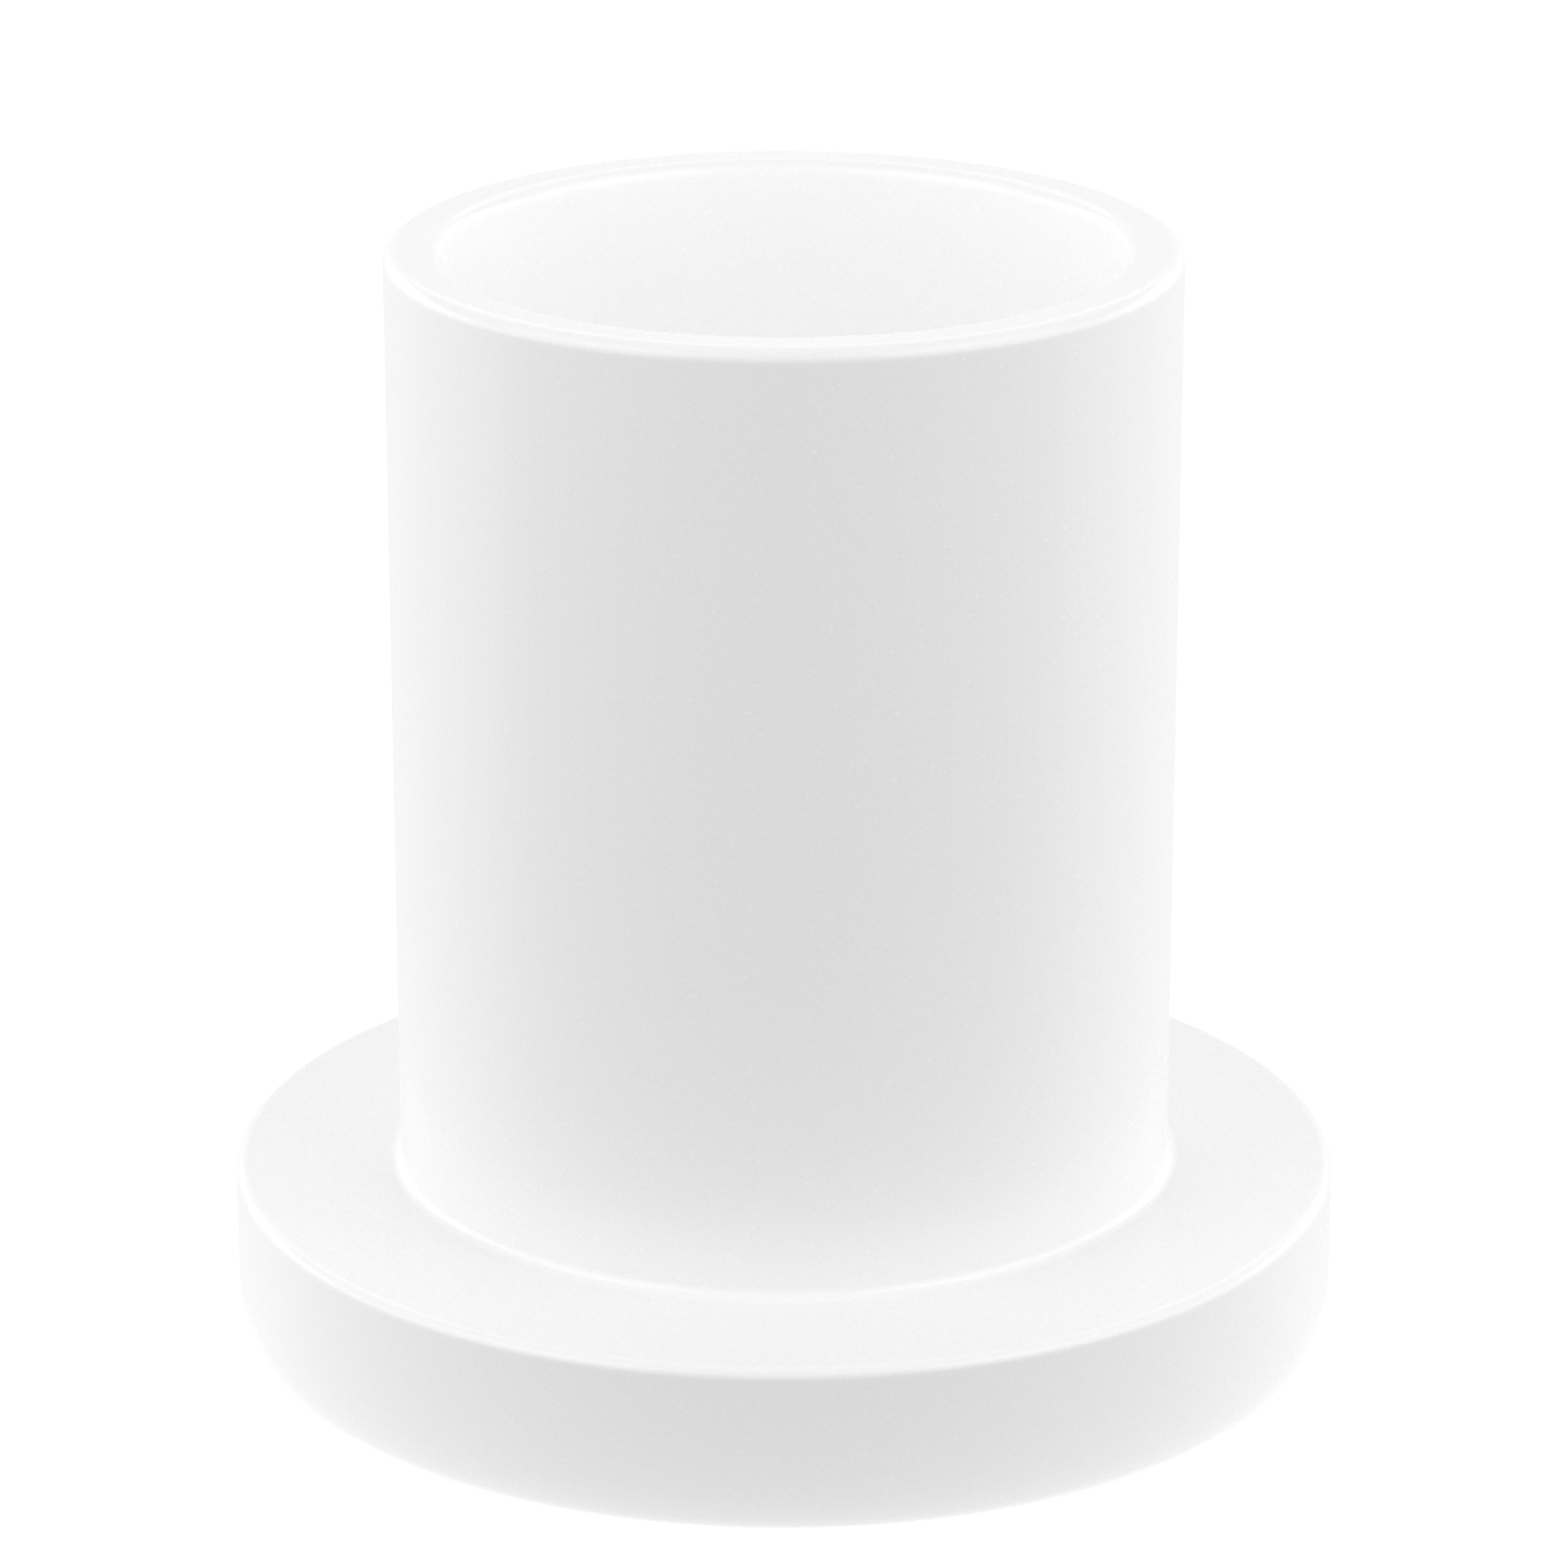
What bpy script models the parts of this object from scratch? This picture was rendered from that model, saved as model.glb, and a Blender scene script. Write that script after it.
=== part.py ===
"""Pen holder cup: a round cup on a wide weighted base.

Metres, +Z up. The origin is on the table, on the cup's axis, so the non-slip pad's underside lies at z = 0.
Every piece is concentric with the Z axis except the four base screws, which stand on a circle around it.
"""

import math

import bmesh
import bpy
from mathutils import Matrix, Vector

MM = 0.001

# Outside of the cup, all heights counted from the lower edge of the base unless they say otherwise.
CUP_HEIGHT = 100.0 * MM
CUP_RADIUS = 35.0 * MM
WALL = 5.0 * MM
BASE_RADIUS = 50.0 * MM
BASE_HEIGHT = 15.0 * MM
RIM_ROUND = 1.3 * MM
EDGE_ROUND = 1.0 * MM
FOOT_ROUND = 0.5 * MM
INNER_CORNER_ROUND = 2.0 * MM

# Inside of the base.
SKIN = 3.0 * MM
SKIRT = 3.0 * MM
LEDGE = 1.2 * MM
GAP = 0.3 * MM
DISC_GAP = 0.8 * MM
RIB_THICKNESS = 1.8 * MM
RIB_COUNT = 8
RING_RIB_RADIUS = 26.0 * MM
RING_RIB_THICKNESS = 1.2 * MM

# Pieces under the skin, from the table up.
PAD_THICKNESS = 1.5 * MM
PAD_PROUD = 0.5 * MM
PAD_EDGE_ROUND = 0.4 * MM
PLATE_THICKNESS = 2.5 * MM
PLATE_CHAMFER = 0.3 * MM
FOAM_THICKNESS = 1.2 * MM
BALLAST_THICKNESS = 4.0 * MM

# Screws and the bosses that they go into.
SCREW_COUNT = 4
SCREW_CIRCLE = 38.0 * MM
SCREW_RADIUS = 1.5 * MM
SCREW_LENGTH = 9.5 * MM
SCREW_TIP = 1.2 * MM
SCREW_TIP_RADIUS = 0.375 * MM
HEAD_RADIUS = 2.8 * MM
HEAD_HEIGHT = 1.7 * MM
HEAD_RIM = 0.3 * MM
HEAD_SUNK = 0.1 * MM
CROSS_LENGTH = 3.2 * MM
CROSS_WIDTH = 0.8 * MM
CROSS_DEPTH = 1.1 * MM
BOSS_RADIUS = 4.0 * MM

# Heights above the table.
CUP_FOOT = PAD_PROUD
CUP_TOP = CUP_FOOT + CUP_HEIGHT
BASE_TOP = CUP_FOOT + BASE_HEIGHT
SKIN_UNDERSIDE = BASE_TOP - SKIN
PLATE_BOTTOM = PAD_THICKNESS + GAP
PLATE_TOP = PLATE_BOTTOM + PLATE_THICKNESS
LEDGE_HEIGHT = PLATE_TOP + GAP
FOAM_BOTTOM = PLATE_TOP + GAP
BALLAST_BOTTOM = FOAM_BOTTOM + FOAM_THICKNESS + GAP
RIB_BOTTOM = BALLAST_BOTTOM + BALLAST_THICKNESS + GAP
SCREW_BOTTOM = PLATE_BOTTOM + HEAD_SUNK
PILOT_TOP = SCREW_BOTTOM + SCREW_LENGTH + GAP

# Radii of the hollow and of what fits in it.
RECESS_RADIUS = BASE_RADIUS - SKIRT
HOLLOW_RADIUS = RECESS_RADIUS - LEDGE
PAD_RADIUS = RECESS_RADIUS - GAP
PLATE_RADIUS = RECESS_RADIUS - GAP
DISC_RADIUS = HOLLOW_RADIUS - DISC_GAP

# How far a joined shape runs into the other, and how far a cutter runs past the face that it cuts.
RUN_ON = 1.0 * MM

ROUND_STEPS = 72
SMALL_STEPS = 24
ARC_STEPS = 4
SHARP_ANGLE = math.radians(35)


def arc(centre_r, centre_z, radius, start, end, steps=ARC_STEPS):
    """Points (r, z) of an arc in a turned profile, from one angle in degrees to another, both ends included."""
    points = []
    for i in range(steps + 1):
        angle = math.radians(start + (end - start) * i / steps)
        points.append((centre_r + radius * math.cos(angle), centre_z + radius * math.sin(angle)))
    return points


def material(name, colour, roughness, metallic=0.0):
    """A Principled material with the piece's colour, roughness and metallic value."""
    made = bpy.data.materials.new(name)
    made.use_nodes = True
    shader = made.node_tree.nodes["Principled BSDF"]
    shader.inputs["Base Color"].default_value = (*colour, 1.0)
    shader.inputs["Roughness"].default_value = roughness
    shader.inputs["Metallic"].default_value = metallic
    made.diffuse_color = (*colour, 1.0)
    return made


def turned_mesh(name, profile, steps):
    """A closed profile of (r, z) points, turned once around the Z axis."""
    shape = bmesh.new()
    points = [shape.verts.new((r, 0.0, z)) for r, z in profile]
    edges = [shape.edges.new(pair) for pair in zip(points, points[1:])]
    if profile[0][0] > 0.0:
        edges.append(shape.edges.new((points[-1], points[0])))
    bmesh.ops.spin(shape, geom=points + edges, cent=Vector(), axis=Vector((0, 0, 1)), angle=math.tau, steps=steps)
    bmesh.ops.remove_doubles(shape, verts=shape.verts, dist=1e-6)
    bmesh.ops.recalc_face_normals(shape, faces=shape.faces)
    mesh = bpy.data.meshes.new(name)
    shape.to_mesh(mesh)
    shape.free()
    mesh.shade_smooth()
    mesh.set_sharp_from_angle(angle=SHARP_ANGLE)
    return mesh


def add_object(name, mesh, finish=None):
    """An object in the scene that shows a mesh, with its material if it is a piece of the cup."""
    made = bpy.data.objects.new(name, mesh)
    bpy.context.scene.collection.objects.link(made)
    if finish:
        mesh.materials.append(finish)
    return made


def add_guide(name, mesh):
    """An object that only shapes another one."""
    made = add_object(name, mesh)
    made.hide_render = True
    made.display_type = "WIRE"
    return made


def add_boolean(target, guide, operation):
    step = target.modifiers.new(f"{operation.title()} {guide.name}", "BOOLEAN")
    step.operation = operation
    step.solver = "EXACT"
    step.object = guide


def joined_mesh(name, mesh, places):
    """One mesh that holds a copy of another at each place."""
    shape = bmesh.new()
    for place in places:
        start = len(shape.verts)
        shape.from_mesh(mesh)
        shape.verts.ensure_lookup_table()
        bmesh.ops.transform(shape, matrix=place, verts=shape.verts[start:])
    made = bpy.data.meshes.new(name)
    shape.to_mesh(made)
    shape.free()
    return made


def box_mesh(name, size, centre):
    shape = bmesh.new()
    bmesh.ops.create_cube(shape, size=1.0, matrix=Matrix.Translation(centre) @ Matrix.Diagonal((*size, 1.0)))
    made = bpy.data.meshes.new(name)
    shape.to_mesh(made)
    shape.free()
    return made


def screw_places():
    """Where each base screw stands, turned so that all four look the same from the axis."""
    places = []
    for i in range(SCREW_COUNT):
        turn = Matrix.Rotation(math.tau * (i + 0.5) / SCREW_COUNT, 4, "Z")
        places.append(turn @ Matrix.Translation((SCREW_CIRCLE, 0.0, 0.0)))
    return places


def rod_guide(name, radius, bottom, top):
    """A round rod at every screw's place."""
    profile = [(0.0, top), (radius, top), (radius, bottom), (0.0, bottom)]
    return add_guide(name, joined_mesh(name, turned_mesh(name, profile, SMALL_STEPS), screw_places()))


def cup_profile():
    """The cup's section: up the outside from the foot, over the rim, down the bore, and along the hollow base."""
    bore_radius = CUP_RADIUS - WALL
    ring_rib_inside = RING_RIB_RADIUS - RING_RIB_THICKNESS
    points = arc(BASE_RADIUS - EDGE_ROUND, CUP_FOOT + EDGE_ROUND, EDGE_ROUND, -90, 0)
    points += arc(BASE_RADIUS - EDGE_ROUND, BASE_TOP - EDGE_ROUND, EDGE_ROUND, 0, 90)
    points += arc(CUP_RADIUS + EDGE_ROUND, BASE_TOP + EDGE_ROUND, EDGE_ROUND, -90, -180)
    points += arc(CUP_RADIUS - RIM_ROUND, CUP_TOP - RIM_ROUND, RIM_ROUND, 0, 90)
    points += arc(bore_radius + RIM_ROUND, CUP_TOP - RIM_ROUND, RIM_ROUND, 90, 180)
    corner = bore_radius - INNER_CORNER_ROUND
    points += arc(corner, BASE_TOP + INNER_CORNER_ROUND, INNER_CORNER_ROUND, 0, -90)
    points += [
        (0.0, BASE_TOP),
        (0.0, SKIN_UNDERSIDE),
        (ring_rib_inside, SKIN_UNDERSIDE),
        (ring_rib_inside, RIB_BOTTOM),
        (RING_RIB_RADIUS, RIB_BOTTOM),
        (RING_RIB_RADIUS, SKIN_UNDERSIDE),
        (HOLLOW_RADIUS, SKIN_UNDERSIDE),
        (HOLLOW_RADIUS, LEDGE_HEIGHT),
        (RECESS_RADIUS, LEDGE_HEIGHT),
        (RECESS_RADIUS, CUP_FOOT + FOOT_ROUND),
        (RECESS_RADIUS + FOOT_ROUND, CUP_FOOT),
    ]
    start = points.index((0.0, SKIN_UNDERSIDE))
    return points[start:] + points[:start]


def rib_guide():
    """Radial ribs under the skin, running out from the ring rib into the skirt."""
    inner = RING_RIB_RADIUS - RING_RIB_THICKNESS / 2
    outer = HOLLOW_RADIUS + RUN_ON
    top = SKIN_UNDERSIDE + RUN_ON
    size = (outer - inner, RIB_THICKNESS, top - RIB_BOTTOM)
    rib = box_mesh("rib", size, ((inner + outer) / 2, 0.0, (top + RIB_BOTTOM) / 2))
    turns = [Matrix.Rotation(math.tau * i / RIB_COUNT, 4, "Z") for i in range(RIB_COUNT)]
    return add_guide("ribs", joined_mesh("ribs", rib, turns))


def add_cup_shell():
    white = material("cup_white", (0.86, 0.86, 0.85), 0.3)
    shell = add_object("cup_shell", turned_mesh("cup_shell", cup_profile(), ROUND_STEPS), white)
    add_boolean(shell, rib_guide(), "UNION")
    add_boolean(shell, rod_guide("bosses", BOSS_RADIUS, LEDGE_HEIGHT, SKIN_UNDERSIDE + RUN_ON), "UNION")
    pilots = rod_guide("pilot_holes", SCREW_RADIUS + GAP, LEDGE_HEIGHT - RUN_ON, PILOT_TOP)
    add_boolean(shell, pilots, "DIFFERENCE")


def add_disc(name, radius, bottom, thickness, finish):
    """A flat round disc with a clearance hole around every boss."""
    top = bottom + thickness
    profile = [(0.0, top), (radius, top), (radius, bottom), (0.0, bottom)]
    disc = add_object(name, turned_mesh(name, profile, ROUND_STEPS), finish)
    holes = rod_guide(f"{name}_holes", BOSS_RADIUS + GAP, bottom - RUN_ON, top + RUN_ON)
    add_boolean(disc, holes, "DIFFERENCE")


def add_base_plate():
    """The closing plate, with a countersunk hole for each screw."""
    grey = material("plate_plastic", (0.78, 0.78, 0.77), 0.5)
    profile = [
        (0.0, PLATE_TOP),
        (PLATE_RADIUS - PLATE_CHAMFER, PLATE_TOP),
        (PLATE_RADIUS, PLATE_TOP - PLATE_CHAMFER),
        (PLATE_RADIUS, PLATE_BOTTOM + PLATE_CHAMFER),
        (PLATE_RADIUS - PLATE_CHAMFER, PLATE_BOTTOM),
        (0.0, PLATE_BOTTOM),
    ]
    plate = add_object("base_plate", turned_mesh("base_plate", profile, ROUND_STEPS), grey)
    hole_radius = SCREW_RADIUS + GAP
    sink_radius = HEAD_RADIUS + GAP
    sink_bottom = PLATE_BOTTOM - RUN_ON
    sink_edge = SCREW_BOTTOM + HEAD_RIM
    sink = [
        (0.0, PLATE_TOP + RUN_ON),
        (hole_radius, PLATE_TOP + RUN_ON),
        (hole_radius, sink_edge + (sink_radius - hole_radius)),
        (sink_radius, sink_edge),
        (sink_radius, sink_bottom),
        (0.0, sink_bottom),
    ]
    holes = joined_mesh("countersinks", turned_mesh("countersink", sink, SMALL_STEPS), screw_places())
    add_boolean(plate, add_guide("countersinks", holes), "DIFFERENCE")


def screw_mesh():
    """A countersunk screw, its head down, with the head's face at z = 0."""
    shank_start = HEAD_RIM + HEAD_RADIUS - SCREW_RADIUS
    profile = [
        (0.0, SCREW_LENGTH),
        (SCREW_TIP_RADIUS, SCREW_LENGTH),
        (SCREW_RADIUS, SCREW_LENGTH - SCREW_TIP),
        (SCREW_RADIUS, shank_start),
        (HEAD_RADIUS, HEAD_RIM),
        (HEAD_RADIUS, 0.0),
        (0.0, 0.0),
    ]
    return turned_mesh("base_screw", profile, SMALL_STEPS)


def add_screws():
    steel = material("screw_steel", (0.62, 0.62, 0.64), 0.35, metallic=1.0)
    screw = screw_mesh()
    screw.materials.append(steel)
    slot = box_mesh("slot", (CROSS_LENGTH, CROSS_WIDTH, 2 * CROSS_DEPTH), (0.0, 0.0, 0.0))
    for i, place in enumerate(screw_places(), start=1):
        place = Matrix.Translation((0.0, 0.0, SCREW_BOTTOM)) @ place
        made = add_object(f"base_screw_{i}", screw)
        made.matrix_world = place
        for quarter in range(2):
            bar = add_guide(f"screw_{i}_slot_{quarter + 1}", slot)
            bar.matrix_world = place @ Matrix.Rotation(math.pi / 2 * quarter, 4, "Z")
            add_boolean(made, bar, "DIFFERENCE")


def add_pad():
    """The non-slip pad, with a rounded lower edge."""
    rubber = material("pad_rubber", (0.52, 0.52, 0.52), 0.8)
    profile = [(0.0, PAD_THICKNESS), (PAD_RADIUS, PAD_THICKNESS)]
    profile += arc(PAD_RADIUS - PAD_EDGE_ROUND, PAD_EDGE_ROUND, PAD_EDGE_ROUND, 0, -90, steps=3)
    profile += [(0.0, 0.0)]
    add_object("nonslip_pad", turned_mesh("nonslip_pad", profile, ROUND_STEPS), rubber)


def main():
    for old in list(bpy.data.objects):
        bpy.data.objects.remove(old, do_unlink=True)
    add_cup_shell()
    zinc = material("ballast_zinc", (0.66, 0.67, 0.68), 0.4, metallic=1.0)
    add_disc("ballast_disc", DISC_RADIUS, BALLAST_BOTTOM, BALLAST_THICKNESS, zinc)
    foam = material("foam_grey", (0.16, 0.16, 0.17), 0.95)
    add_disc("foam_disc", DISC_RADIUS, FOAM_BOTTOM, FOAM_THICKNESS, foam)
    add_base_plate()
    add_screws()
    add_pad()


main()
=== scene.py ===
"""Looks of the pen holder cup: fine meshes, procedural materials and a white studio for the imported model.

Metres, +Z up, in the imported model's frame: the cup stands on z = 0, on the Z axis, and its front is -Y.
"""

import math

import bmesh
import bpy
from mathutils import Matrix, Vector


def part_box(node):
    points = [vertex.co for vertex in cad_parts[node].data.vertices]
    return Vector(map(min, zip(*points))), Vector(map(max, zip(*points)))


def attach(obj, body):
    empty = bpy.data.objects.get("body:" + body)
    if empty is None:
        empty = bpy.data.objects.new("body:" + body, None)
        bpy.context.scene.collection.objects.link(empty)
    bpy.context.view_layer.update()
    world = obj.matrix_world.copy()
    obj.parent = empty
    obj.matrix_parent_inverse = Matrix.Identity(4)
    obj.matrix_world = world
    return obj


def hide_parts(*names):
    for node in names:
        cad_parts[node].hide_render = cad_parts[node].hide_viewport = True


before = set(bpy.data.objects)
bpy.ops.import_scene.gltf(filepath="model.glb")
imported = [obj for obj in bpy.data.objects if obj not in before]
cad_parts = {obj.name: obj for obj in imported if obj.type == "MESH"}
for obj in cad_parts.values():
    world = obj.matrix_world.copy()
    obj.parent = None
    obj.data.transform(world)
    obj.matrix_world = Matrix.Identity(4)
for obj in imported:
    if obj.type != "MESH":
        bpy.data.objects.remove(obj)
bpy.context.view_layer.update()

MM = 0.001

# Steps around the turned meshes, and along the arcs and straight stretches of their sections.
ROUND_STEPS = 256
SMALL_STEPS = 64
ARC_STEPS = 12
SMALL_ARC_STEPS = 6
DISC_ARC_STEPS = 4
FLAT_STEPS = 4
BORE_FLOOR_STEPS = 6
WALL_STEPS = 16

# How close to each end a straight stretch has its last point, and how close two points are to be made one.
SUPPORT = 0.25 * MM
WELD = 1e-6
SHARP_ANGLE = math.radians(30)

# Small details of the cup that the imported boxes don't state. They repeat the design's values.
RIM_ROUND = 1.3 * MM
EDGE_ROUND = 1.0 * MM
INNER_CORNER_ROUND = 2.0 * MM
FOOT_ROUND = 0.5 * MM
BOSS_RADIUS = 4.0 * MM
CLEARANCE = 0.3 * MM
DISC_GAP = 0.8 * MM
RIB_COUNT = 8
RIB_THICKNESS = 1.8 * MM
RING_RIB_RADIUS = 26.0 * MM
RING_RIB_THICKNESS = 1.2 * MM
PLATE_CHAMFER = 0.3 * MM
BALLAST_EDGE_ROUND = 0.3 * MM
FOAM_EDGE_ROUND = 0.2 * MM

# How far a joined shape runs into the other, and how far a cutter runs past the face that it cuts.
RUN_ON = 1.0 * MM

# The screws, whose threads and cross recesses are modelled here. The tip's share is of the full radius, and
# the ridge's half width is a share of the pitch.
SCREW_COUNT = 4
SCREW_RADIUS = 1.5 * MM
SCREW_CORE_RADIUS = 1.12 * MM
SCREW_SIDES = 48
SCREW_TURN = math.radians(37.0)
TIP_LENGTH = 1.2 * MM
TIP_SHARE = 0.25
THREAD_PITCH = 1.1 * MM
THREAD_RUN_IN = 0.4 * MM
THREAD_STEPS = 160
RIDGE_HALF_WIDTH = 0.32
HEAD_RIM = 0.3 * MM
HEAD_EDGE = 0.1 * MM
CROSS_LENGTH = 3.2 * MM
CROSS_WIDTH = 0.8 * MM
CROSS_DEPTH = 1.1 * MM

# The non-slip pad's underside. The grooves' section is a curve of the given power, with a nearly flat bottom.
PAD_EDGE_ROUND = 0.4 * MM
GROOVE_DEPTH = 0.35 * MM
GROOVE_WIDTH = 1.4 * MM
GROOVE_PITCH = 4.0 * MM
GROOVE_FIRST_RADIUS = 12.0 * MM
GROOVE_MARGIN = 3.0 * MM
GROOVE_STEPS = 8
GROOVE_POWER = 4


def cup_places():
    """The cup's radii and heights, read from the vertices of its CAD node."""
    points = [(v.co.xy.length, v.co.z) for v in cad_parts["cup_shell"].data.vertices]
    foot = min(z for r, z in points)
    top = max(z for r, z in points)
    base = max(r for r, z in points)
    upper = [r for r, z in points if z > (foot + top) / 2]
    tube = max(upper)
    bore = min(upper)
    outside = [z for r, z in points if r > (tube + base) / 2]
    inside = [z for r, z in points if r < bore - EDGE_ROUND]
    floor = max(inside)
    return {
        "foot": foot,
        "top": top,
        "base": base,
        "tube": tube,
        "bore": bore,
        "base_top": max(outside),
        "floor": floor,
        "skin": max(z for z in inside if z < floor - EDGE_ROUND),
    }


CUP = cup_places()
PLATE_LOW, PLATE_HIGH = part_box("base_plate")
FOAM_LOW, FOAM_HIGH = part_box("foam_disc")
BALLAST_LOW, BALLAST_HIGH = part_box("ballast_disc")
PAD_LOW, PAD_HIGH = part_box("nonslip_pad")
SCREW_BOXES = [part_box(f"base_screw_{i + 1}") for i in range(SCREW_COUNT)]

RECESS_RADIUS = PLATE_HIGH.x + CLEARANCE
LEDGE_HEIGHT = PLATE_HIGH.z + CLEARANCE
HOLLOW_RADIUS = BALLAST_HIGH.x + DISC_GAP
RIB_BOTTOM = BALLAST_HIGH.z + CLEARANCE
HEAD_RADIUS = (SCREW_BOXES[0][1].x - SCREW_BOXES[0][0].x) / 2
SCREW_BOTTOM = SCREW_BOXES[0][0].z
SCREW_TOP = SCREW_BOXES[0][1].z
SCREW_LENGTH = SCREW_TOP - SCREW_BOTTOM


# Meshes.


def arc(centre_r, centre_z, radius, start, end, steps=ARC_STEPS):
    """Points (r, z) of an arc in a turned section, from one angle in degrees to another, ends included."""
    points = []
    for i in range(steps + 1):
        angle = math.radians(start + (end - start) * i / steps)
        points.append((centre_r + radius * math.cos(angle), centre_z + radius * math.sin(angle)))
    return points


def straight(start, end, steps=1):
    """Points along a straight stretch, with one close to each end, which keeps its shading flat."""
    a = Vector(start)
    b = Vector(end)
    along = (b - a).normalized() * SUPPORT
    inner_a = a + along
    inner_b = b - along
    return [tuple(inner_a.lerp(inner_b, i / steps)) for i in range(steps + 1)]


def turned(name, section, steps=ROUND_STEPS):
    """A closed section of (r, z) points, turned once around the Z axis."""
    shape = bmesh.new()
    points = [shape.verts.new((r, 0.0, z)) for r, z in section]
    edges = [shape.edges.new(pair) for pair in zip(points, points[1:])]
    if section[0][0] > 0.0:
        edges.append(shape.edges.new((points[-1], points[0])))
    axis = Vector((0, 0, 1))
    bmesh.ops.spin(shape, geom=points + edges, cent=Vector(), axis=axis, angle=math.tau, steps=steps)
    bmesh.ops.remove_doubles(shape, verts=shape.verts, dist=WELD)
    bmesh.ops.recalc_face_normals(shape, faces=shape.faces)
    return finished_mesh(name, shape)


def finished_mesh(name, shape):
    """The bmesh's mesh, shaded smooth between its sharp edges."""
    mesh = bpy.data.meshes.new(name)
    shape.to_mesh(mesh)
    shape.free()
    mesh.shade_smooth()
    mesh.set_sharp_from_angle(angle=SHARP_ANGLE)
    return mesh


def copies(name, mesh, places):
    """One mesh that holds a copy of another at each place."""
    shape = bmesh.new()
    for place in places:
        start = len(shape.verts)
        shape.from_mesh(mesh)
        shape.verts.ensure_lookup_table()
        bmesh.ops.transform(shape, matrix=place, verts=shape.verts[start:])
    return finished_mesh(name, shape)


def box_mesh(name, size, centre):
    """A box of the given sizes, around its centre."""
    shape = bmesh.new()
    place = Matrix.Translation(centre) @ Matrix.Diagonal((*size, 1.0))
    bmesh.ops.create_cube(shape, size=1.0, matrix=place)
    return finished_mesh(name, shape)


def add_object(name, data):
    """An object in the scene, from the data of a mesh, a camera or a light."""
    made = bpy.data.objects.new(name, data)
    bpy.context.scene.collection.objects.link(made)
    return made


def cut_or_join(target, tool_mesh, operation):
    """Applies a Boolean to the target's mesh and removes the tool."""
    tool = add_object("tool", tool_mesh)
    step = target.modifiers.new("Boolean", "BOOLEAN")
    step.operation = operation
    step.solver = "EXACT"
    step.object = tool
    graph = bpy.context.evaluated_depsgraph_get()
    result = bpy.data.meshes.new_from_object(target.evaluated_get(graph))
    target.modifiers.clear()
    target.data = result
    bpy.data.objects.remove(tool)


def resharpen(target):
    """Shades an object smooth between its sharp edges again, after a Boolean."""
    target.data.shade_smooth()
    target.data.set_sharp_from_angle(angle=SHARP_ANGLE)


def screw_places():
    """The screws' axes, read from their packed boxes."""
    middles = [((low.x + high.x) / 2, (low.y + high.y) / 2, 0.0) for low, high in SCREW_BOXES]
    return [Matrix.Translation(middle) for middle in middles]


def rods(radius, bottom, top):
    """A round rod on each screw's axis."""
    section = [(0.0, top), (radius, top), (radius, bottom), (0.0, bottom)]
    return copies("rods", turned("rod", section, SMALL_STEPS), screw_places())


# Pieces.


def cup_section():
    """Up the outside from the foot, over the rim, down the bore, and along the hollow base."""
    base, tube, bore = CUP["base"], CUP["tube"], CUP["bore"]
    foot, top, base_top = CUP["foot"], CUP["top"], CUP["base_top"]
    floor, skin = CUP["floor"], CUP["skin"]
    edge, rim, corner = EDGE_ROUND, RIM_ROUND, INNER_CORNER_ROUND
    ring_inner = RING_RIB_RADIUS - RING_RIB_THICKNESS
    points = arc(base - edge, foot + edge, edge, -90, 0)
    points += straight((base, foot + edge), (base, base_top - edge), FLAT_STEPS)
    points += arc(base - edge, base_top - edge, edge, 0, 90)
    points += straight((base - edge, base_top), (tube + edge, base_top), FLAT_STEPS)
    points += arc(tube + edge, base_top + edge, edge, -90, -180)
    points += straight((tube, base_top + edge), (tube, top - rim), WALL_STEPS)
    points += arc(tube - rim, top - rim, rim, 0, 90)
    points += straight((tube - rim, top), (bore + rim, top))
    points += arc(bore + rim, top - rim, rim, 90, 180)
    points += straight((bore, top - rim), (bore, floor + corner), WALL_STEPS)
    points += arc(bore - corner, floor + corner, corner, 0, -90)
    points += straight((bore - corner, floor), (0.0, floor), BORE_FLOOR_STEPS)[:-1]
    points += [
        (0.0, floor),
        (0.0, skin),
        (ring_inner, skin),
        (ring_inner, RIB_BOTTOM),
        (RING_RIB_RADIUS, RIB_BOTTOM),
        (RING_RIB_RADIUS, skin),
        (HOLLOW_RADIUS, skin),
        (HOLLOW_RADIUS, LEDGE_HEIGHT),
        (RECESS_RADIUS, LEDGE_HEIGHT),
    ]
    points += arc(RECESS_RADIUS + FOOT_ROUND, foot + FOOT_ROUND, FOOT_ROUND, 180, 270, SMALL_ARC_STEPS)
    points += straight((RECESS_RADIUS + FOOT_ROUND, foot), (base - edge, foot))
    start = points.index((0.0, skin))
    return points[start:] + points[:start]


def radial_ribs():
    """The ribs that fan out from the ring rib to the wall of the hollow."""
    inner = RING_RIB_RADIUS - RING_RIB_THICKNESS / 2
    outer = HOLLOW_RADIUS + RUN_ON
    top = CUP["skin"] + RUN_ON
    size = (outer - inner, RIB_THICKNESS, top - RIB_BOTTOM)
    rib = box_mesh("rib", size, ((inner + outer) / 2, 0.0, (top + RIB_BOTTOM) / 2))
    turns = [Matrix.Rotation(math.tau * i / RIB_COUNT, 4, "Z") for i in range(RIB_COUNT)]
    return copies("ribs", rib, turns)


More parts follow.
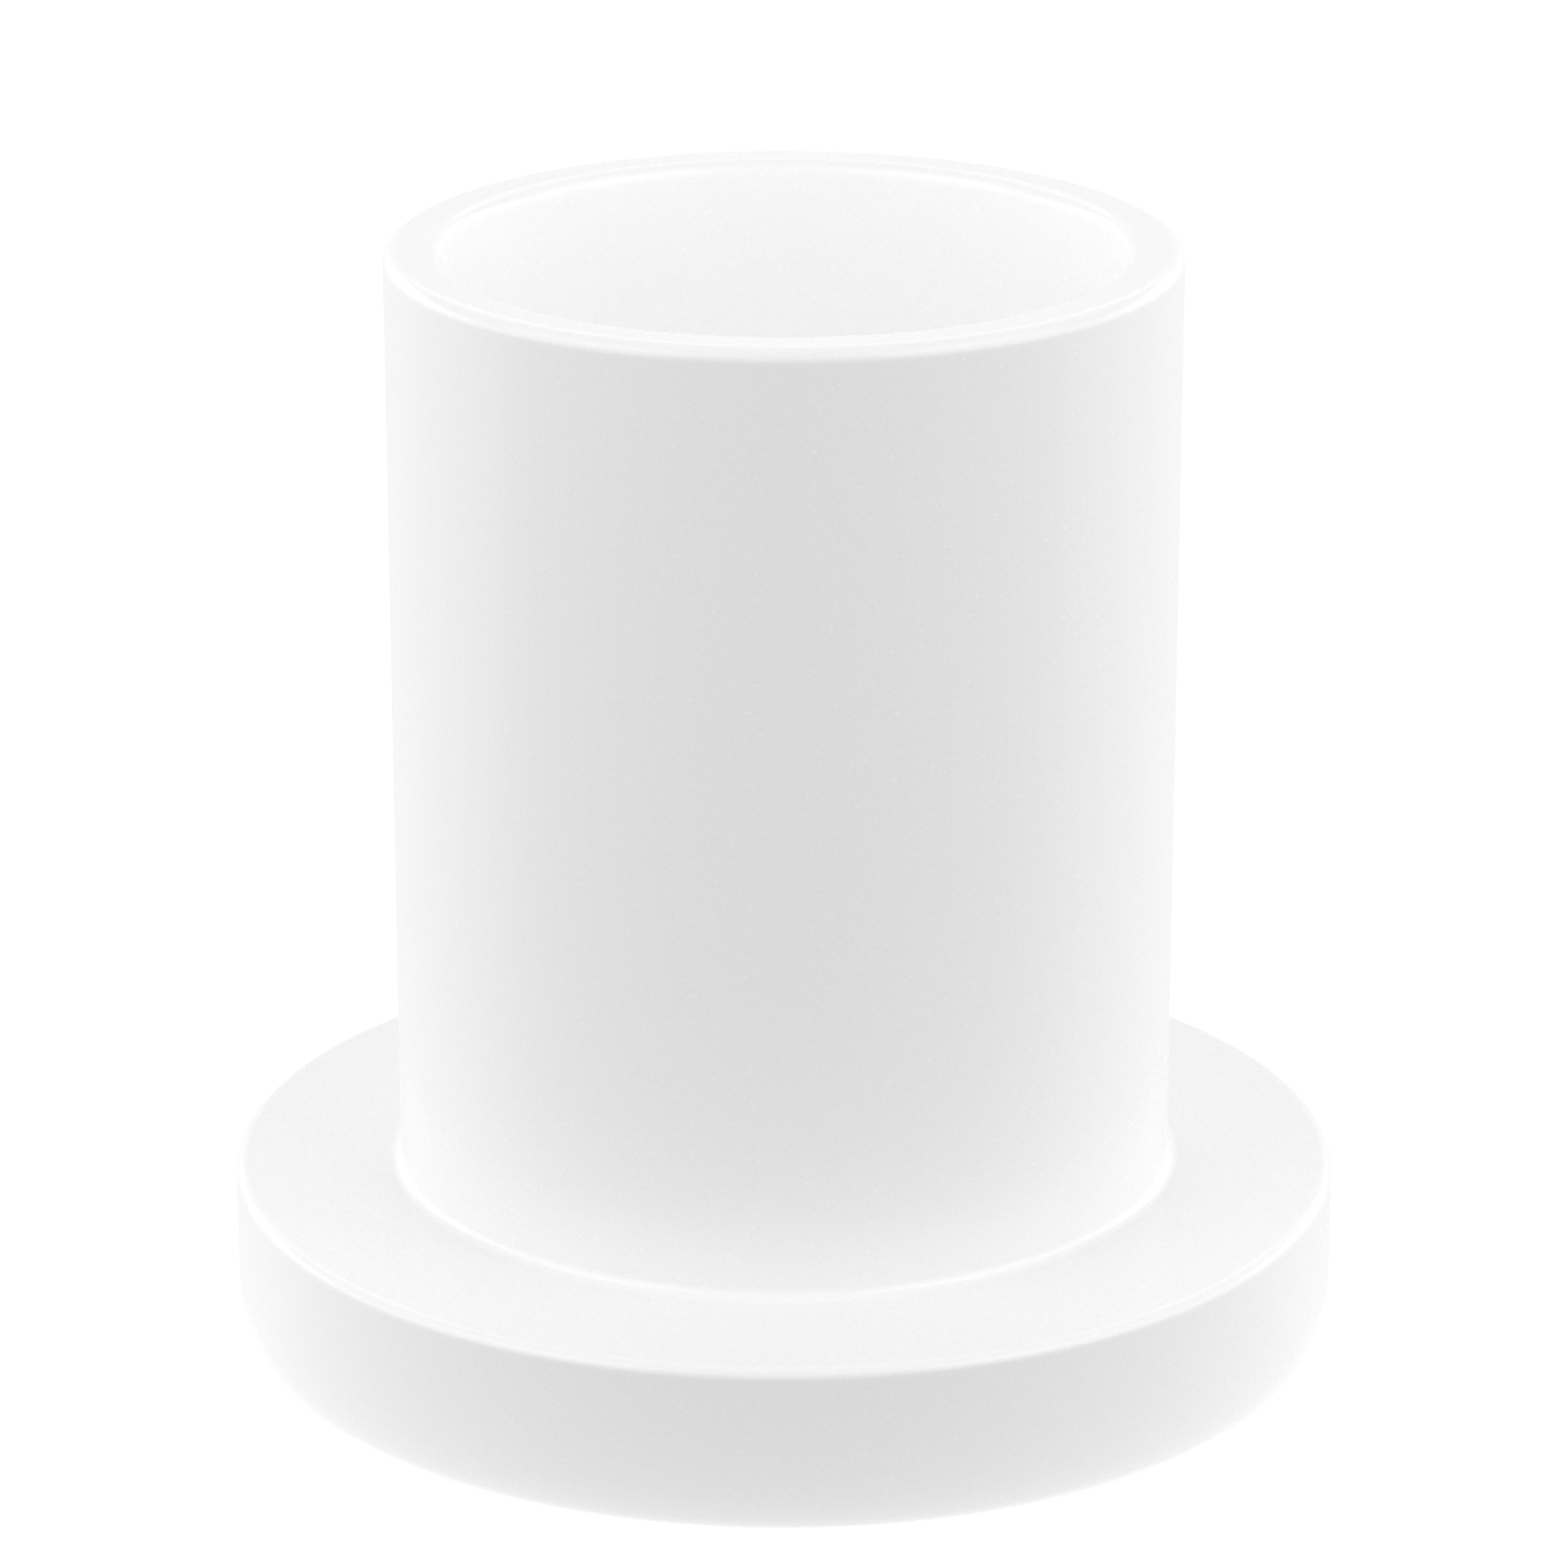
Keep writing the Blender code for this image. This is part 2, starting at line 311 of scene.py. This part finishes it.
def add_cup_body():
    """The one moulding: the turned shell, with the ribs and the bored screw bosses under its floor."""
    into_skin = CUP["skin"] + RUN_ON
    inside = add_object("ribs", radial_ribs())
    cut_or_join(inside, rods(BOSS_RADIUS, LEDGE_HEIGHT, into_skin), "UNION")
    pilot_radius = SCREW_RADIUS + CLEARANCE
    cut_or_join(inside, rods(pilot_radius, LEDGE_HEIGHT - RUN_ON, SCREW_TOP + CLEARANCE), "DIFFERENCE")
    body = add_object("cup_body", turned("cup_body", cup_section()))
    cut_or_join(body, inside.data, "UNION")
    bpy.data.objects.remove(inside)
    resharpen(body)
    return body


def add_disc(name, low, high, edge):
    """A flat round disc with rounded edges and a clearance hole around every boss."""
    radius = high.x
    section = [(0.0, high.z)]
    section += straight((0.0, high.z), (radius - edge, high.z), FLAT_STEPS)[1:]
    section += arc(radius - edge, high.z - edge, edge, 90, 0, DISC_ARC_STEPS)
    section += arc(radius - edge, low.z + edge, edge, 0, -90, DISC_ARC_STEPS)
    section += straight((radius - edge, low.z), (0.0, low.z), FLAT_STEPS)[:-1]
    section += [(0.0, low.z)]
    disc = add_object(name, turned(name, section))
    cut_or_join(disc, rods(BOSS_RADIUS + CLEARANCE, low.z - RUN_ON, high.z + RUN_ON), "DIFFERENCE")
    resharpen(disc)
    return disc


def add_closing_plate():
    """The closing plate: chamfered edges and a countersunk hole for each screw."""
    low, high = PLATE_LOW, PLATE_HIGH
    edge = PLATE_CHAMFER
    section = [
        (0.0, high.z),
        (high.x - edge, high.z),
        (high.x, high.z - edge),
        (high.x, low.z + edge),
        (high.x - edge, low.z),
        (0.0, low.z),
    ]
    plate = add_object("closing_plate", turned("closing_plate", section))
    hole = SCREW_RADIUS + CLEARANCE
    sink = HEAD_RADIUS + CLEARANCE
    sink_edge = SCREW_BOTTOM + HEAD_RIM
    cutter = [
        (0.0, high.z + RUN_ON),
        (hole, high.z + RUN_ON),
        (hole, sink_edge + sink - hole),
        (sink, sink_edge),
        (sink, low.z - RUN_ON),
        (0.0, low.z - RUN_ON),
    ]
    cut_or_join(plate, copies("sinks", turned("sink", cutter, SMALL_STEPS), screw_places()), "DIFFERENCE")
    resharpen(plate)
    return plate


def thread_radius(turn, z, start, end):
    """The screw's radius at a height and at a share of a turn: a rounded ridge that winds up the core."""
    phase = (z / THREAD_PITCH - turn) % 1.0
    ridge = max(0.0, 1.0 - abs(phase - 0.5) / RIDGE_HALF_WIDTH)
    fade = min(1.0, max(0.0, (z - start) / THREAD_PITCH))
    taper = min(1.0, max(0.0, (end - z) / TIP_LENGTH))
    full = SCREW_CORE_RADIUS + (SCREW_RADIUS - SCREW_CORE_RADIUS) * ridge * fade
    return full * (TIP_SHARE + (1.0 - TIP_SHARE) * taper)


def screw_mesh():
    """A countersunk screw, its head down, with the head's face at z = 0."""
    sides = SCREW_SIDES
    shank_start = HEAD_RIM + HEAD_RADIUS - SCREW_RADIUS
    thread_start = shank_start + THREAD_RUN_IN
    head = [
        (HEAD_RADIUS - HEAD_EDGE, 0.0),
        (HEAD_RADIUS, HEAD_EDGE),
        (HEAD_RADIUS, HEAD_RIM),
        (SCREW_RADIUS, shank_start),
        (SCREW_CORE_RADIUS, thread_start),
    ]
    rings = [[place] * sides for place in head]
    for i in range(1, THREAD_STEPS + 1):
        z = thread_start + (SCREW_LENGTH - thread_start) * i / THREAD_STEPS
        rings.append([(thread_radius(k / sides, z, thread_start, SCREW_LENGTH), z) for k in range(sides)])
    shape = bmesh.new()
    rows = []
    for ring in rings:
        row = []
        for k, (r, z) in enumerate(ring):
            angle = math.tau * k / sides
            row.append(shape.verts.new((r * math.cos(angle), r * math.sin(angle), z)))
        rows.append(row)
    for below, above in zip(rows, rows[1:]):
        for k in range(sides):
            n = (k + 1) % sides
            shape.faces.new((below[k], below[n], above[n], above[k]))
    shape.faces.new(list(reversed(rows[0])))
    shape.faces.new(rows[-1])
    bmesh.ops.recalc_face_normals(shape, faces=shape.faces)
    return finished_mesh("screw", shape)


def add_screws():
    """The four screws, each with a cross recess."""
    made = []
    first = add_object("screw_1", screw_mesh())
    slot = box_mesh("slot", (CROSS_LENGTH, CROSS_WIDTH, 2 * CROSS_DEPTH), (0.0, 0.0, 0.0))
    for quarter in range(2):
        turn = Matrix.Rotation(math.pi / 2 * quarter, 4, "Z")
        cut_or_join(first, copies("slot", slot, [turn]), "DIFFERENCE")
    resharpen(first)
    for i, place in enumerate(screw_places(), start=1):
        screw = first if i == 1 else add_object(f"screw_{i}", first.data.copy())
        turn = Matrix.Rotation(SCREW_TURN * i, 4, "Z")
        screw.matrix_world = Matrix.Translation((0.0, 0.0, SCREW_BOTTOM)) @ place @ turn
        made.append(screw)
    return made


def add_grip_pad():
    """The non-slip pad: a rounded lower edge, and concentric grooves in its underside."""
    low, high = PAD_LOW, PAD_HIGH
    edge = PAD_EDGE_ROUND
    section = [(0.0, high.z)]
    section += straight((0.0, high.z), (high.x, high.z), FLAT_STEPS)[1:]
    section += arc(high.x - edge, low.z + edge, edge, 0, -90, SMALL_ARC_STEPS)
    grooves = []
    radius = GROOVE_FIRST_RADIUS
    while radius + GROOVE_WIDTH < high.x - GROOVE_MARGIN:
        grooves.append(radius)
        radius += GROOVE_PITCH
    for radius in reversed(grooves):
        half = GROOVE_WIDTH / 2
        for k in range(GROOVE_STEPS + 1):
            across = math.cos(math.pi * k / GROOVE_STEPS)
            depth = GROOVE_DEPTH * (1.0 - across ** GROOVE_POWER)
            section.append((radius + half + half * across, low.z + depth))
    section += [(0.0, low.z)]
    return add_object("grip_pad", turned("grip_pad", section))


# Materials.


def ramp(tree, source, start, end, low, high):
    """A value that goes from low to high as the source goes from start to end."""
    node = tree.nodes.new("ShaderNodeMapRange")
    node.inputs["From Min"].default_value = start
    node.inputs["From Max"].default_value = end
    node.inputs["To Min"].default_value = low
    node.inputs["To Max"].default_value = high
    tree.links.new(source, node.inputs["Value"])
    return node


class Shades:
    """A material's node tree, with short ways to add the nodes that these materials use."""

    def __init__(self, name):
        self.material = bpy.data.materials.new(name)
        self.material.use_nodes = True
        self.tree = self.material.node_tree
        self.shader = self.tree.nodes["Principled BSDF"]
        self.place = self.tree.nodes.new("ShaderNodeTexCoord").outputs["Object"]

    def link(self, source, node, socket):
        self.tree.links.new(source, node.inputs[socket])

    def noise(self, size, detail=2.0, roughness=0.5, stretch=None):
        """Noise whose features are about size metres across."""
        node = self.tree.nodes.new("ShaderNodeTexNoise")
        node.inputs["Scale"].default_value = 1.0 / size
        node.inputs["Detail"].default_value = detail
        node.inputs["Roughness"].default_value = roughness
        source = self.place
        if stretch:
            mapping = self.tree.nodes.new("ShaderNodeMapping")
            mapping.inputs["Scale"].default_value = stretch
            self.link(source, mapping, "Vector")
            source = mapping.outputs["Vector"]
        self.link(source, node, "Vector")
        return node.outputs["Fac"]

    def between(self, factor, low, high, start=0.3, end=0.7):
        """A value that goes from low to high as the factor goes from start to end."""
        return ramp(self.tree, factor, start, end, low, high).outputs["Result"]

    def colours(self, factor, first, second, start=0.3, end=0.7):
        """A colour that goes from the first to the second as the factor goes from start to end."""
        node = self.tree.nodes.new("ShaderNodeValToRGB")
        node.color_ramp.elements[0].position = start
        node.color_ramp.elements[0].color = (*first, 1.0)
        node.color_ramp.elements[1].position = end
        node.color_ramp.elements[1].color = (*second, 1.0)
        self.link(factor, node, "Fac")
        return node.outputs["Color"]

    def bump(self, height, depth, after=None):
        """A bump whose whole height is depth metres."""
        node = self.tree.nodes.new("ShaderNodeBump")
        node.inputs["Strength"].default_value = 1.0
        node.inputs["Distance"].default_value = depth
        self.link(height, node, "Height")
        if after:
            self.link(after, node, "Normal")
        return node.outputs["Normal"]

    def set(self, **values):
        """Constant values, by the shader's socket names with _ for a space."""
        for name, value in values.items():
            self.shader.inputs[name.replace("_", " ")].default_value = value

    def drive(self, **sources):
        """Values from nodes, by the shader's socket names with _ for a space."""
        for name, source in sources.items():
            self.link(source, self.shader, name.replace("_", " "))


def cup_plastic():
    """White moulded plastic: semi-gloss and faintly speckled, with the slight waviness of a moulding."""
    m = Shades("white_plastic")
    speckle = m.noise(0.2 * MM, detail=1.0)
    fine = m.noise(0.35 * MM, detail=2.0)
    wave = m.noise(14.0 * MM, detail=1.0)
    m.drive(
        Base_Color=m.colours(speckle, (0.855, 0.855, 0.855), (0.889, 0.889, 0.889)),
        Roughness=m.between(fine, 0.22, 0.28),
        Normal=m.bump(fine, 0.0003 * MM, after=m.bump(wave, 0.004 * MM)),
    )
    m.set(IOR=1.5)
    return m.material


def zinc_steel():
    """Zinc-plated steel plate: soft grey spangle with fine rolling lines."""
    m = Shades("zinc_plate")
    spangle = m.noise(2.5 * MM, detail=4.0)
    lines = m.noise(0.5 * MM, detail=3.0, stretch=(0.04, 1.0, 1.0))
    m.drive(
        Base_Color=m.colours(spangle, (0.50, 0.51, 0.52), (0.70, 0.71, 0.72)),
        Roughness=m.between(lines, 0.28, 0.48),
        Normal=m.bump(lines, 0.004 * MM),
    )
    m.set(Metallic=1.0)
    return m.material


def screw_steel():
    """Bright zinc on small turned and rolled screws."""
    m = Shades("screw_zinc")
    tone = m.noise(0.8 * MM, detail=3.0)
    m.drive(
        Base_Color=m.colours(tone, (0.55, 0.55, 0.57), (0.70, 0.70, 0.71)),
        Roughness=m.between(tone, 0.22, 0.38),
        Normal=m.bump(m.noise(0.15 * MM), 0.002 * MM),
    )
    m.set(Metallic=1.0)
    return m.material


def closed_cell_foam():
    """Dark foam sheet with small closed cells."""
    m = Shades("closed_cell_foam")
    cells = m.tree.nodes.new("ShaderNodeTexVoronoi")
    cells.inputs["Scale"].default_value = 1.0 / (0.5 * MM)
    m.link(m.place, cells, "Vector")
    walls = cells.outputs["Distance"]
    m.drive(
        Base_Color=m.colours(walls, (0.035, 0.035, 0.038), (0.075, 0.075, 0.078), 0.1, 0.6),
        Roughness=m.between(m.noise(1.0 * MM), 0.85, 0.98),
        Normal=m.bump(walls, 0.08 * MM),
    )
    return m.material


def plate_plastic():
    """Matt off-white moulded plastic with a spark-eroded texture."""
    m = Shades("textured_plastic")
    grain = m.noise(0.4 * MM, detail=4.0, roughness=0.6)
    tone = m.noise(15.0 * MM, detail=2.0)
    m.drive(
        Base_Color=m.colours(tone, (0.60, 0.60, 0.59), (0.64, 0.64, 0.63)),
        Roughness=m.between(grain, 0.48, 0.62),
        Normal=m.bump(grain, 0.015 * MM),
    )
    return m.material


def silicone():
    """Matt light grey silicone rubber, with a fine mould grain."""
    m = Shades("silicone_rubber")
    grain = m.noise(0.25 * MM, detail=3.0, roughness=0.6)
    tone = m.noise(9.0 * MM, detail=3.0)
    m.drive(
        Base_Color=m.colours(tone, (0.36, 0.36, 0.36), (0.41, 0.41, 0.41)),
        Roughness=m.between(grain, 0.62, 0.8),
        Normal=m.bump(grain, 0.01 * MM),
    )
    return m.material


# Studio.

# The lens and the sensor's width in millimetres, as the camera takes them, and how far down it looks.
LENS = 149.076
SENSOR = 36.0
CAMERA_PLACE = Vector((0.0, -0.550864, 0.242402))
CAMERA_PITCH = math.radians(19.2066)
CLIP_START = 0.01
CLIP_END = 50.0

FLOOR_RADIUS = 6.0
FLOOR_SIDES = 96
FLOOR_TONE = 0.08
FLOOR_SEEN = 0.93
# The light that the table gives in front of the cup and behind it, and what it adds close to the foot.
FLOOR_FRONT = 0.29
FLOOR_BACK = 0.81
FLOOR_BACK_FROM = -75.0 * MM
FLOOR_BACK_TO = -10.0 * MM
FLOOR_NEAR = 0.6
FLOOR_NEAR_FROM = 51.0 * MM
FLOOR_NEAR_TO = 52.0 * MM

ROOM_SEEN = 1.0
ROOM_UNSEEN = 0.58

STUDIO_RADIUS = 1.0
CUP_MIDDLE = Vector((0.0, 0.0, 0.05))
# Azimuth from the front and elevation in degrees, width and height in metres, and radiance.
SIDE_SOFTBOXES = (
    (45.0, 12.0, 0.53, 0.4, 1.0),
    (75.0, 12.0, 0.53, 0.4, 1.46),
    (105.0, 12.0, 0.53, 0.4, 1.46),
    (135.0, 12.0, 0.53, 0.4, 1.46),
    (165.0, 12.0, 0.53, 0.4, 0.4),
    (45.0, 38.0, 0.5, 0.5, 1.65),
    (75.0, 38.0, 0.5, 0.5, 1.25),
)
MIDDLE_SOFTBOXES = (
    (0.0, 38.0, 0.8, 0.5, 0.25),
    (180.0, 40.0, 0.9, 0.5, 0.9),
)

# A small round light in the cup, facing up.
BORE_LIGHT_RADIUS = 22.0 * MM
BORE_LIGHT_HEIGHT = 60.0 * MM
BORE_LIGHT_RADIANCE = 1.42


def add_camera():
    """The main view: from the front and above, through a long lens."""
    data = bpy.data.cameras.new("camera")
    data.lens = LENS
    data.sensor_width = SENSOR
    data.sensor_fit = "HORIZONTAL"
    data.clip_start = CLIP_START
    data.clip_end = CLIP_END
    camera = add_object("camera", data)
    camera.location = CAMERA_PLACE
    camera.rotation_euler = (math.pi / 2 - CAMERA_PITCH, 0.0, 0.0)
    bpy.context.scene.camera = camera


def camera_switch(tree, socket, seen, unseen):
    """Sets a strength to one value as the camera sees it, and to another for the light that it gives."""
    rays = tree.nodes.new("ShaderNodeLightPath")
    switch = ramp(tree, rays.outputs["Is Camera Ray"], 0.0, 1.0, unseen, seen)
    tree.links.new(switch.outputs["Result"], socket)
    return switch


def floor_light(tree):
    """The light that the table gives: more behind the cup, and more close to its foot."""
    place = tree.nodes.new("ShaderNodeTexCoord").outputs["Object"]
    split = tree.nodes.new("ShaderNodeSeparateXYZ")
    tree.links.new(place, split.inputs["Vector"])
    far = ramp(tree, split.outputs["Y"], FLOOR_BACK_FROM, FLOOR_BACK_TO, FLOOR_FRONT, FLOOR_BACK)
    distance = tree.nodes.new("ShaderNodeVectorMath")
    distance.operation = "LENGTH"
    tree.links.new(place, distance.inputs[0])
    near = ramp(tree, distance.outputs["Value"], FLOOR_NEAR_FROM, FLOOR_NEAR_TO, FLOOR_NEAR, 0.0)
    total = tree.nodes.new("ShaderNodeMath")
    tree.links.new(far.outputs["Result"], total.inputs[0])
    tree.links.new(near.outputs["Result"], total.inputs[1])
    return total.outputs["Value"]


def add_floor():
    """A wide table that shows white, and gives the cup less light than it shows."""
    shape = bmesh.new()
    bmesh.ops.create_circle(shape, cap_ends=True, radius=FLOOR_RADIUS, segments=FLOOR_SIDES)
    floor = add_object("floor", finished_mesh("floor", shape))
    material = bpy.data.materials.new("floor")
    material.use_nodes = True
    tree = material.node_tree
    shader = tree.nodes["Principled BSDF"]
    shader.inputs["Base Color"].default_value = (FLOOR_TONE, FLOOR_TONE, FLOOR_TONE, 1.0)
    shader.inputs["Roughness"].default_value = 1.0
    shader.inputs["Specular IOR Level"].default_value = 0.0
    shader.inputs["Emission Color"].default_value = (1.0, 1.0, 1.0, 1.0)
    switch = camera_switch(tree, shader.inputs["Emission Strength"], FLOOR_SEEN, FLOOR_FRONT)
    tree.links.new(floor_light(tree), switch.inputs["To Min"])
    floor.data.materials.append(material)


def add_room():
    """The white room around the table."""
    world = bpy.data.worlds.new("room")
    bpy.context.scene.world = world
    world.use_nodes = True
    background = world.node_tree.nodes["Background"]
    background.inputs["Color"].default_value = (1.0, 1.0, 1.0, 1.0)
    camera_switch(world.node_tree, background.inputs["Strength"], ROOM_SEEN, ROOM_UNSEEN)


def add_light(name, shape, size, radiance, area, place):
    """An area light of the given radiance, which the camera doesn't see."""
    data = bpy.data.lights.new(name, "AREA")
    data.shape = shape
    data.size = size[0]
    data.size_y = size[-1]
    data.energy = radiance * math.pi * area
    light = add_object(name, data)
    light.matrix_world = place
    light.visible_camera = False


def add_softbox(name, azimuth, elevation, width, height, radiance):
    """A rectangular softbox that faces the cup."""
    turn = Matrix.Rotation(math.radians(azimuth), 4, "Z")
    tilt = Matrix.Rotation(math.radians(90.0 - elevation), 4, "X")
    place = Matrix.Translation(CUP_MIDDLE) @ turn @ tilt @ Matrix.Translation((0.0, 0.0, STUDIO_RADIUS))
    add_light(name, "RECTANGLE", (width, height), radiance, width * height, place)


def add_bore_light():
    """A round fill light in the bore, facing up, so that the inside is as bright as the rim."""
    area = math.pi * BORE_LIGHT_RADIUS ** 2
    place = Matrix.Translation((0.0, 0.0, BORE_LIGHT_HEIGHT)) @ Matrix.Rotation(math.pi, 4, "X")
    add_light("bore_light", "DISK", (2 * BORE_LIGHT_RADIUS,), BORE_LIGHT_RADIANCE, area, place)


def add_studio():
    """The table, the room, and the lights on both sides, in the middle and in the bore."""
    add_floor()
    add_room()
    for azimuth, *values in SIDE_SOFTBOXES:
        add_softbox("softbox_right", azimuth, *values)
        add_softbox("softbox_left", -azimuth, *values)
    for values in MIDDLE_SOFTBOXES:
        add_softbox("softbox_middle", *values)
    add_bore_light()


def finish_piece(piece, node, material):
    """Gives a piece its material, hides the CAD node that it stands for, and hangs it on the root body."""
    piece.data.materials.clear()
    piece.data.materials.append(material)
    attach(piece, "root")
    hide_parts(node)


def main():
    add_camera()
    finish_piece(add_cup_body(), "cup_shell", cup_plastic())
    ballast = add_disc("ballast", BALLAST_LOW, BALLAST_HIGH, BALLAST_EDGE_ROUND)
    finish_piece(ballast, "ballast_disc", zinc_steel())
    foam = add_disc("foam", FOAM_LOW, FOAM_HIGH, FOAM_EDGE_ROUND)
    finish_piece(foam, "foam_disc", closed_cell_foam())
    finish_piece(add_closing_plate(), "base_plate", plate_plastic())
    steel = screw_steel()
    for i, screw in enumerate(add_screws(), start=1):
        finish_piece(screw, f"base_screw_{i}", steel)
    finish_piece(add_grip_pad(), "nonslip_pad", silicone())
    add_studio()
    bpy.context.scene.view_settings.view_transform = "Standard"


main()
